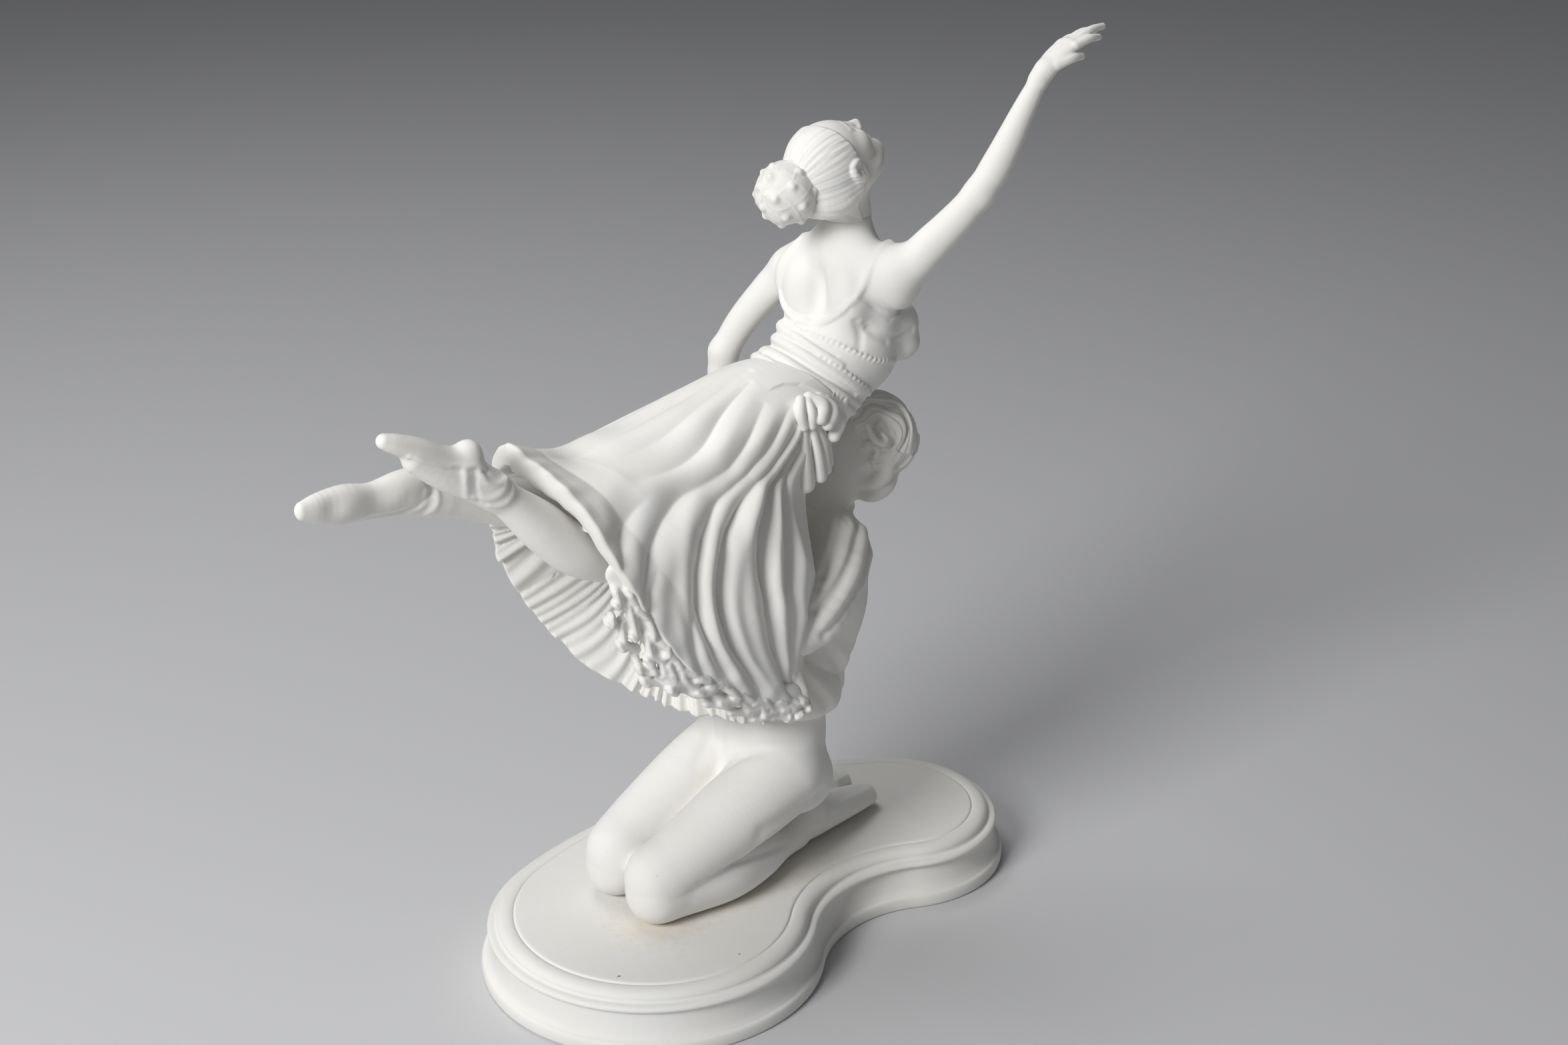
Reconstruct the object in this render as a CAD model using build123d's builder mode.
"""Porcelain figurine: a kneeling man holds up a ballerina, on a kidney-shaped plinth.

Millimetres, +Z up. The origin is the centre of the plinth's underside. The plinth's long side is
along X, the man faces -X and the ballerina faces +X over his shoulder. "Left" and "right" are the
dancers' own: the man's left is -Y and the ballerina's left is +Y.

The figurine is slip-cast in separate moulds. Large castings are hollow, with the walls below, and
open at the seam where the next casting is luted on. Each casting is trimmed to its neighbours, so
they meet face to face.
"""

import os

from build123d import *

# walls of the hollow castings
WALL = 3.0
SKIRT_WALL = 2.8
SKIRT_GAP = 1.2
PETTICOAT_WALL = 2.4

# plinth
PLINTH_TOP = 20.0
BIG_LOBE = Vector(-44.0, -3.0)
BIG_RADIUS = 51.0
SMALL_LOBE = Vector(62.0, -1.0)
SMALL_RADIUS = 34.0
BACK_RADIUS = 154.8
HOLLOW_RADIUS = 48.0
LIP = 3.5
LIP_BOTTOM = 14.0
LIP_TOP = 17.0
FOOT = 6.0
FOOT_TOP = 4.5
GROOVE_INSET = 5.0
GROOVE_WIDTH = 1.0
GROOVE_DEPTH = 0.8
PLINTH_FLOOR = 4.0
VENT_RADIUS = 3.0
VENT_PLACE = (45.0, 0.0)

# man
KNEE_RADIUS = 12.4
MAN_WAIST_TOP = 74.0
MAN_HEAD = (47.0, -2.0, 162.0)
MAN_CROWN_WAY = (0.47, 0, 0.88)
MAN_HEAD_LONG = 19.5
MAN_HEAD_ROUND = 16.0

# ballerina
HEAD = (32.0, 0.0, 256.0)
CROWN_WAY = (-0.82, 0, 0.57)
HEAD_LONG = 18.0
HEAD_ROUND = 14.5
BUN = (15.0, 0.0, 250.0)
BUN_RADIUS = 10.2

# skirt hem, a long oval that faces back and down
HEM = (-46.0, -1.0, 139.0)
HEM_FACING = (-0.79, -0.2, -0.58)
HEM_ALONG = (0.64, -0.2, -0.74)
HEM_RADII = (62.0, 34.0)
FRILL_RADIUS = 3.4
FRILL_FORWARD = 2.0
FRILL_START = 215.0
FRILL_SWEEP = 140.0

LEFT_OF_MAN = -1
RIGHT_OF_MAN = 1

SIDEWAYS = (0.0, 1.0, 0.0)
UPWARD = (0.0, 0.0, 1.0)
LENGTHWAYS = (1.0, 0.0, 0.0)


# ---- helpers ------------------------------------------------------------------------------------

def section_plane(centre, heading, along):
    """The plane of one section, with its X as near to a direction as the heading lets it be."""
    forward = Vector(heading).normalized()
    across = Vector(along)
    across = (across - forward * across.dot(forward)).normalized()
    return Plane(origin=centre, x_dir=across, z_dir=forward)


def form(sections, along=SIDEWAYS):
    """Loft a closed form through (centre, heading, half width, half depth) sections."""
    with BuildPart() as lofted:
        for centre, heading, wide, deep in sections:
            with BuildSketch(section_plane(centre, heading, along)):
                Ellipse(wide, deep)
        loft()
    return lofted.part


def thinner(sections, wall):
    """The same sections with a wall taken off their radii."""
    return [(centre, heading, wide - wall, deep - wall) for centre, heading, wide, deep in sections]


def on_side(side, sections):
    """Sections given for the +Y side, put on the side asked for."""
    return [
        ((x, side * y, z), (along_x, side * along_y, along_z), wide, deep)
        for (x, y, z), (along_x, along_y, along_z), wide, deep in sections
    ]


def egg(centre, axis, long_radius, round_radius):
    """An ellipsoid turned about its long axis."""
    with BuildPart() as body:
        with BuildSketch(Plane(origin=centre, x_dir=axis, z_dir=SIDEWAYS)):
            Ellipse(long_radius, round_radius)
            with Locations((0, -round_radius)):
                Rectangle(2 * long_radius, 2 * round_radius, mode=Mode.SUBTRACT)
        revolve(axis=Axis(centre, axis))
    return body.part


def trim(*neighbours):
    """Cut the part being built back to the castings that it meets."""
    for neighbour in neighbours:
        add(neighbour.part, mode=Mode.SUBTRACT)


def write(builder, label):
    """Label a finished casting and write it."""
    builder.part.label = label
    export_step(builder.part, f"parts/{label}.step")


os.makedirs("parts", exist_ok=True)


# ---- plinth -------------------------------------------------------------------------------------

def meeting_point(first, first_radius, second, second_radius):
    """Where circles about two centres meet, on the -Y side of their line."""
    line = second - first
    ahead = (first_radius**2 - second_radius**2 + line.length**2) / (2 * line.length)
    aside = (first_radius**2 - ahead**2) ** 0.5
    direction = line.normalized()
    return first + direction * ahead + Vector(direction.Y, -direction.X) * aside


def from_centre(centre, through, radius):
    """The point on a circle that lies towards another point."""
    return centre + (through - centre).normalized() * radius


back_centre = meeting_point(
    BIG_LOBE, BACK_RADIUS - BIG_RADIUS, SMALL_LOBE, BACK_RADIUS - SMALL_RADIUS
)
hollow_centre = meeting_point(
    BIG_LOBE, HOLLOW_RADIUS + BIG_RADIUS, SMALL_LOBE, HOLLOW_RADIUS + SMALL_RADIUS
)
big_back = from_centre(back_centre, BIG_LOBE, BACK_RADIUS)
small_back = from_centre(back_centre, SMALL_LOBE, BACK_RADIUS)
big_front = from_centre(BIG_LOBE, hollow_centre, BIG_RADIUS)
small_front = from_centre(SMALL_LOBE, hollow_centre, SMALL_RADIUS)
hollow_middle = from_centre(hollow_centre, (BIG_LOBE + SMALL_LOBE) / 2, HOLLOW_RADIUS)


def slab(bottom, top, outset=0.0, taper=0.0):
    """A slab of the plinth's outline: four arcs that run into one another."""
    with BuildPart() as layer:
        with BuildSketch(Plane.XY.offset(bottom)):
            with BuildLine():
                ThreePointArc(big_back, back_centre + Vector(0, BACK_RADIUS), small_back)
                ThreePointArc(small_back, SMALL_LOBE + Vector(SMALL_RADIUS, 0), small_front)
                ThreePointArc(small_front, hollow_middle, big_front)
                ThreePointArc(big_front, BIG_LOBE - Vector(BIG_RADIUS, 0), big_back)
            make_face()
            if outset:
                offset(amount=outset)
        extrude(amount=top - bottom, taper=taper)
    return layer.part


with BuildPart() as plinth:
    add(slab(0.0, FOOT_TOP, FOOT))
    fillet(plinth.edges().group_by(Axis.Z)[-1], radius=2.0)
    fillet(plinth.edges().group_by(Axis.Z)[0], radius=0.8)
    add(slab(FOOT_TOP, LIP_BOTTOM, FOOT - 1.4, taper=10.0))
    add(slab(LIP_BOTTOM, LIP_TOP, LIP))
    fillet(plinth.faces().filter_by(Plane.XY).sort_by(Axis.Z)[-1].edges(), radius=1.2)
    add(slab(LIP_TOP - 1.0, PLINTH_TOP))
    fillet(plinth.faces().filter_by(Plane.XY).sort_by(Axis.Z)[-1].edges(), radius=2.0)
    add(
        slab(PLINTH_TOP - GROOVE_DEPTH, PLINTH_TOP, -GROOVE_INSET)
        - slab(PLINTH_TOP - GROOVE_DEPTH, PLINTH_TOP, -GROOVE_INSET - GROOVE_WIDTH),
        mode=Mode.SUBTRACT,
    )
    add(slab(PLINTH_FLOOR, PLINTH_TOP - WALL - GROOVE_DEPTH, -WALL), mode=Mode.SUBTRACT)
    with Locations(VENT_PLACE):
        Cylinder(VENT_RADIUS, 2 * PLINTH_FLOOR + 1, mode=Mode.SUBTRACT)
write(plinth, "plinth")


# ---- man ----------------------------------------------------------------------------------------

man_pelvis = [
    ((8.0, 0.0, 43.0), (0, 0, 1), 18.0, 14.0),
    ((6.5, 0.0, 50.0), (0, 0, 1), 25.0, 18.5),
    ((7.0, 0.0, 60.0), (0, 0, 1), 28.0, 19.5),
    ((8.5, 0.0, MAN_WAIST_TOP), (0, 0, 1), 26.0, 17.5),
]
man_thigh = [
    ((4.0, 13.0, 58.5), (-0.92, 0, -0.38), 15.0, 15.5),
    ((-14.0, 14.0, 51.0), (-0.92, 0, -0.38), 14.5, 15.0),
    ((-32.0, 13.5, 43.5), (-0.92, 0, -0.38), 13.0, 13.5),
    ((-48.0, 12.8, 37.0), (-0.92, 0, -0.38), KNEE_RADIUS, KNEE_RADIUS),
    ((-55.0, 12.6, 34.2), (-0.92, 0, -0.38), 10.2, 10.2),
    ((-59.0, 12.5, 32.6), (-0.92, 0, -0.38), 5.5, 5.5),
]
with BuildPart() as man_hips_and_thighs:
    add(form(man_pelvis))
    for side in (LEFT_OF_MAN, RIGHT_OF_MAN):
        add(form(on_side(side, man_thigh)))
    add(form(thinner(man_pelvis[1:], WALL)), mode=Mode.SUBTRACT)
write(man_hips_and_thighs, "man_hips_and_thighs")

# the shins lie on the plinth, and the left foot crosses in front of the right
man_shin = [
    ((-57.0, 12.0, 28.0), (1, 0, 0), 6.5, 6.5),
    ((-50.0, 12.0, 30.0), (1, 0, 0), 10.5, 11.0),
    ((-36.0, 12.4, 31.0), (1, 0, 0), 11.5, 12.0),
    ((-20.0, 12.4, 31.5), (1, 0, 0), 11.6, 12.0),
]
man_left_foot = [
    ((-4.0, -9.8, 30.0), (1, 0.15, 0), 9.2, 10.2),
    ((12.0, -5.6, 28.0), (1, 0.2, 0), 6.0, 7.5),
    ((22.0, -3.2, 30.0), (1, 0.2, 0), 6.2, 9.0),
    ((37.0, -0.4, 27.0), (1, 0.15, 0), 6.6, 7.5),
    ((50.0, 1.6, 25.0), (1, 0.1, 0), 5.6, 5.5),
    ((57.0, 2.4, 23.5), (1, 0, 0), 3.2, 3.4),
]
man_right_foot = [
    ((-4.0, 12.0, 30.0), (1, 0, 0), 9.2, 10.2),
    ((12.0, 10.6, 28.0), (1, 0, 0), 6.0, 7.5),
    ((22.0, 11.2, 30.0), (1, 0.1, 0), 6.2, 9.0),
    ((37.0, 13.6, 27.0), (1, 0.1, 0), 6.6, 7.5),
    ((50.0, 14.6, 25.0), (1, 0, 0), 5.6, 5.5),
    ((56.0, 14.8, 23.5), (1, 0, 0), 3.2, 3.4),
]
for side, foot, label in (
    (LEFT_OF_MAN, man_left_foot, "man_left_lower_leg"),
    (RIGHT_OF_MAN, man_right_foot, "man_right_lower_leg"),
):
    with BuildPart() as lower_leg:
        add(form(on_side(side, man_shin) + foot))
        trim(plinth, man_hips_and_thighs)
        split(bisect_by=Plane.XY.offset(PLINTH_TOP), keep=Keep.TOP)
    write(lower_leg, label)

man_chest = [
    ((9.5, 0.0, MAN_WAIST_TOP), (0, 0, 1), 28.0, 20.0),
    ((11.5, 0.0, 81.0), (0, 0, 1), 28.0, 20.0),
    ((15.5, 0.0, 91.0), (0, 0, 1), 25.0, 17.0),
    ((20.0, 0.0, 105.0), (0, 0, 1), 25.5, 16.0),
    ((22.5, 0.0, 118.0), (0, 0, 1), 26.5, 16.5),
    ((22.5, 0.0, 129.0), (0, 0, 1), 24.0, 15.0),
    ((25.5, 0.0, 136.0), (0.2, 0, 1), 17.0, 12.0),
    ((28.5, 0.0, 142.0), (0.35, 0, 1), 10.5, 10.0),
]
chest_block = form(man_chest)
with BuildPart() as man_torso:
    add(chest_block)
    add(form(thinner(man_chest[:-1], WALL)), mode=Mode.SUBTRACT)
write(man_torso, "man_torso")

man_neck = [
    ((28.5, 0.0, 142.0), (0.35, 0, 1), 10.5, 10.0),
    ((34.0, -0.6, 149.0), (0.6, 0, 1), 9.0, 9.5),
    ((41.0, -1.4, 157.0), (0.6, 0, 1), 9.5, 10.5),
]
with BuildPart() as man_head:
    add(egg(MAN_HEAD, MAN_CROWN_WAY, MAN_HEAD_LONG, MAN_HEAD_ROUND))
    add(form(man_neck))
    add(form(thinner(man_neck, WALL + 1.0)), mode=Mode.SUBTRACT)
    trim(man_torso)
write(man_head, "man_head")

man_upper_arm = [
    ((23.0, 20.0, 131.0), (-0.7, 0.45, -0.55), 11.0, 11.0),
    ((17.0, 25.5, 126.5), (-0.8, 0.3, -0.6), 12.5, 12.5),
    ((8.0, 27.5, 119.5), (-0.8, 0.0, -0.6), 11.0, 11.0),
    ((0.0, 26.5, 113.0), (-0.8, -0.2, -0.3), 7.0, 7.0),
]
man_lower_arm = [
    ((0.0, 26.5, 113.0), (-0.8, -0.2, -0.3), 6.0, 6.0),
    ((-9.0, 23.5, 115.0), (-0.8, -0.3, 0.35), 5.6, 5.6),
    ((-21.0, 18.0, 125.0), (-0.6, -0.3, 0.7), 3.8, 3.8),
    ((-25.5, 16.0, 131.0), (-0.5, -0.2, 0.8), 6.0, 3.0),
    ((-31.0, 13.5, 141.0), (-0.4, -0.2, 0.8), 5.5, 2.4),
]
man_sleeves = []
man_forearms = []
for side, name in ((LEFT_OF_MAN, "left"), (RIGHT_OF_MAN, "right")):
    with BuildPart() as sleeve:
        add(form(on_side(side, man_upper_arm)))
        add(chest_block, mode=Mode.SUBTRACT)
        trim(man_head)
    man_sleeves.append(sleeve)
    write(sleeve, f"man_{name}_sleeve")
    with BuildPart() as forearm:
        add(form(on_side(side, man_lower_arm)))
    man_forearms.append(forearm)
    write(forearm, f"man_{name}_forearm")


# ---- ballerina ----------------------------------------------------------------------------------

bodice = [
    ((1.0, 0.0, 172.0), (0.8, 0, 0.4), 16.0, 11.0),
    ((12.0, 0.0, 178.0), (0.8, 0, 0.5), 16.5, 12.6),
    ((23.5, 0.0, 185.5), (0.75, 0, 0.66), 14.5, 12.0),
    ((35.0, 0.0, 195.5), (0.65, 0, 0.75), 17.5, 13.5),
    ((42.5, 0.0, 207.0), (0.3, 0, 0.95), 20.5, 14.0),
    ((41.0, 0.0, 219.0), (-0.15, 0, 1), 20.5, 11.5),
    ((38.2, 0.0, 227.5), (-0.1, 0, 1), 12.5, 9.4),
    ((38.5, 0.0, 233.0), (0.1, 0, 1), 8.6, 8.4),
]
bodice_block = form(bodice)
with BuildPart() as ballerina_torso:
    add(bodice_block)
    add(form(thinner(bodice[2:], WALL)), mode=Mode.SUBTRACT)
write(ballerina_torso, "ballerina_torso")

ballerina_neck = [
    ((38.5, 0.0, 233.0), (0.1, 0, 1), 8.0, 7.8),
    ((40.5, 0.0, 240.0), (0.2, 0, 1), 7.0, 7.2),
    ((40.0, 0.0, 248.0), (0.1, 0, 1), 7.4, 8.0),
]
with BuildPart() as ballerina_head:
    add(egg(HEAD, CROWN_WAY, HEAD_LONG, HEAD_ROUND))
    add(form(ballerina_neck))
    add(form(thinner(ballerina_neck, WALL)), mode=Mode.SUBTRACT)
write(ballerina_head, "ballerina_head")

with BuildPart() as hair_bun:
    with Locations(BUN):
        Sphere(BUN_RADIUS)
    trim(ballerina_head)
write(hair_bun, "hair_bun")

right_arm = [
    ((39.0, -15.0, 218.0), (0, -1, 0), 7.4, 7.0),
    ((41.5, -25.0, 222.5), (0.5, -0.6, 0.6), 7.4, 7.4),
    ((50.0, -33.0, 237.5), (0.6, -0.4, 0.8), 5.8, 5.8),
    ((58.6, -40.0, 250.5), (0.5, -0.25, 0.85), 5.0, 5.0),
    ((66.0, -42.5, 264.0), (0.5, -0.15, 0.85), 4.9, 4.7),
    ((76.8, -45.0, 284.0), (0.5, -0.1, 0.85), 3.0, 2.6),
]
right_hand = [
    ((76.8, -45.0, 284.0), (0.5, -0.1, 0.85), 3.0, 2.6),
    ((84.0, -45.5, 291.5), (0.8, 0, 0.6), 4.6, 2.6),
    ((93.0, -45.5, 296.5), (0.95, 0, 0.3), 4.4, 2.3),
    ((103.5, -45.0, 298.0), (1, 0, 0), 2.6, 1.6),
]
left_arm = [
    ((39.0, 15.0, 218.0), (0, 1, 0), 7.4, 7.0),
    ((35.5, 25.0, 212.0), (-0.4, 0.7, -0.6), 7.2, 7.2),
    ((26.0, 31.0, 200.0), (-0.5, 0.35, -0.8), 5.8, 5.8),
    ((18.0, 36.5, 187.0), (-0.2, 0.1, -1), 5.0, 5.0),
    ((18.5, 35.5, 172.0), (0.1, -0.2, -1), 4.8, 4.8),
    ((21.5, 32.0, 154.0), (0.1, -0.2, -1), 3.0, 3.2),
]
left_hand = [
    ((21.5, 32.0, 154.0), (0.1, -0.2, -1), 3.0, 3.2),
    ((22.5, 30.5, 147.5), (0.1, -0.3, -1), 4.8, 3.4),
    ((24.0, 28.0, 139.0), (0.1, -0.3, -1), 4.6, 3.0),
]
with BuildPart() as ballerina_right_arm:
    add(form(right_arm, along=UPWARD))
    add(bodice_block, mode=Mode.SUBTRACT)
write(ballerina_right_arm, "ballerina_right_arm")
with BuildPart() as ballerina_left_arm:
    add(form(left_arm, along=UPWARD))
    add(bodice_block, mode=Mode.SUBTRACT)
write(ballerina_left_arm, "ballerina_left_arm")
with BuildPart() as ballerina_right_hand:
    add(form(right_hand))
write(ballerina_right_hand, "ballerina_right_hand")
with BuildPart() as ballerina_left_hand:
    add(form(left_hand, along=LENGTHWAYS))
    trim(man_torso, *man_sleeves)
write(ballerina_left_hand, "ballerina_left_hand")

right_leg = [
    ((0.0, -9.0, 170.0), (-0.9, 0, -0.25), 8.6, 9.5),
    ((-22.0, -10.0, 164.5), (-0.95, -0.03, -0.3), 8.8, 9.6),
    ((-45.0, -11.2, 157.0), (-0.95, -0.03, -0.2), 8.0, 8.6),
    ((-65.0, -12.0, 153.0), (-0.9, 0, 0.2), 7.2, 7.6),
    ((-80.0, -11.0, 164.0), (-0.75, 0.1, 0.6), 6.8, 7.2),
    ((-101.0, -8.0, 184.0), (-0.8, 0.1, 0.55), 4.0, 4.2),
]
left_leg = [
    ((0.0, 9.0, 171.0), (-0.9, 0, -0.1), 8.6, 9.5),
    ((-22.0, 10.0, 168.0), (-0.95, 0, -0.1), 8.8, 9.6),
    ((-45.0, 9.8, 165.5), (-0.95, 0, -0.05), 8.0, 8.6),
    ((-65.0, 9.4, 165.5), (-0.95, 0, 0.1), 7.2, 7.6),
    ((-84.0, 9.0, 170.0), (-0.95, 0, 0.25), 6.6, 6.8),
    ((-111.0, 8.0, 178.0), (-0.95, 0, 0.25), 3.9, 4.1),
]
right_shoe = [
    ((-101.0, -8.0, 184.0), (-0.8, 0.1, 0.55), 4.0, 4.2),
    ((-107.0, -6.5, 191.0), (-0.85, 0.1, 0.5), 5.0, 6.2),
    ((-119.0, -5.5, 197.5), (-0.9, 0, 0.35), 5.2, 5.8),
    ((-133.0, -5.0, 203.5), (-0.9, 0, 0.35), 2.8, 3.0),
]
left_shoe = [
    ((-111.0, 8.0, 178.0), (-0.95, 0, 0.25), 3.9, 4.1),
    ((-119.0, 7.5, 181.5), (-0.97, 0, 0.2), 5.0, 5.8),
    ((-137.0, 6.0, 184.5), (-1, 0, 0.1), 5.6, 5.4),
    ((-156.0, 4.0, 186.0), (-1, 0, 0), 2.8, 3.0),
]
ballerina_legs = []
for sections, label in ((right_leg, "ballerina_right_leg"), (left_leg, "ballerina_left_leg")):
    with BuildPart() as leg:
        add(form(sections))
        add(bodice_block, mode=Mode.SUBTRACT)
        trim(*man_forearms)
    ballerina_legs.append(leg)
    write(leg, label)
for sections, label in ((right_shoe, "right_pointe_shoe"), (left_shoe, "left_pointe_shoe")):
    with BuildPart() as shoe:
        add(form(sections))
        trim(*ballerina_legs)
    write(shoe, label)


# ---- skirt, petticoat and trim ------------------------------------------------------------------

skirt_outside = [
    ((24.0, 0.0, 186.0), (-0.75, 0, -0.66), 14.5, 17.0),
    ((9.5, 0.0, 182.0), (-0.79, 0, -0.6), 18.8, 22.0),
    ((-11.5, -0.5, 171.0), (-0.8, 0, -0.6), 25.5, 27.0),
    ((-28.0, -1.0, 154.0), (-0.8, -0.1, -0.58), 40.0, 31.0),
    (HEM, HEM_FACING, *HEM_RADII),
]
past_hem = tuple(Vector(HEM) + Vector(HEM_FACING) * 8.0)
skirt_inside = thinner(skirt_outside, SKIRT_WALL) + [
    (past_hem, HEM_FACING, HEM_RADII[0] + 2.0, HEM_RADII[1] + 1.0)
]
with BuildPart() as skirt:
    add(form(skirt_outside, along=HEM_ALONG))
    add(form(skirt_inside, along=HEM_ALONG), mode=Mode.SUBTRACT)
    add(bodice_block, mode=Mode.SUBTRACT)
    trim(*man_forearms, *ballerina_legs)
write(skirt, "skirt")

petticoat_hem = tuple(Vector(HEM) + Vector(HEM_FACING) * 3.0)
petticoat_outside = thinner(skirt_outside[1:-1], SKIRT_WALL + SKIRT_GAP) + [
    (petticoat_hem, HEM_FACING, HEM_RADII[0] - 5.0, HEM_RADII[1] - 3.6)
]
petticoat_inside = thinner(petticoat_outside, PETTICOAT_WALL) + [
    (past_hem, HEM_FACING, HEM_RADII[0] - 5.0, HEM_RADII[1] - 4.0)
]
with BuildPart() as petticoat:
    add(form(petticoat_outside, along=HEM_ALONG))
    add(form(petticoat_inside, along=HEM_ALONG), mode=Mode.SUBTRACT)
    add(bodice_block, mode=Mode.SUBTRACT)
    trim(skirt, *man_forearms, *ballerina_legs)
write(petticoat, "petticoat")

frill_centre = Vector(HEM) + Vector(HEM_FACING) * FRILL_FORWARD
frill_plane = section_plane(tuple(frill_centre), HEM_FACING, HEM_ALONG)
with BuildPart() as hem_frill:
    with BuildLine(frill_plane) as frill_path:
        EllipticalCenterArc((0, 0), *HEM_RADII, start_angle=FRILL_START, arc_size=FRILL_SWEEP)
    with BuildSketch(Plane(origin=frill_path.line @ 0, z_dir=frill_path.line % 0)):
        Circle(FRILL_RADIUS)
    sweep()
    trim(skirt, petticoat)
write(hem_frill, "hem_frill")

flounce = [
    ((17.0, -17.5, 184.0), (-0.35, -0.1, -0.9), 8.0, 3.0),
    ((11.0, -20.5, 172.0), (-0.3, -0.1, -0.9), 9.5, 3.6),
    ((7.5, -22.5, 160.0), (-0.3, -0.1, -0.9), 10.0, 3.0),
]
with BuildPart() as hip_flounce:
    add(form(flounce, along=(1, 0, -0.3)))
    trim(skirt, ballerina_torso)
    add(form(skirt_inside, along=HEM_ALONG), mode=Mode.SUBTRACT)
write(hip_flounce, "hip_flounce")
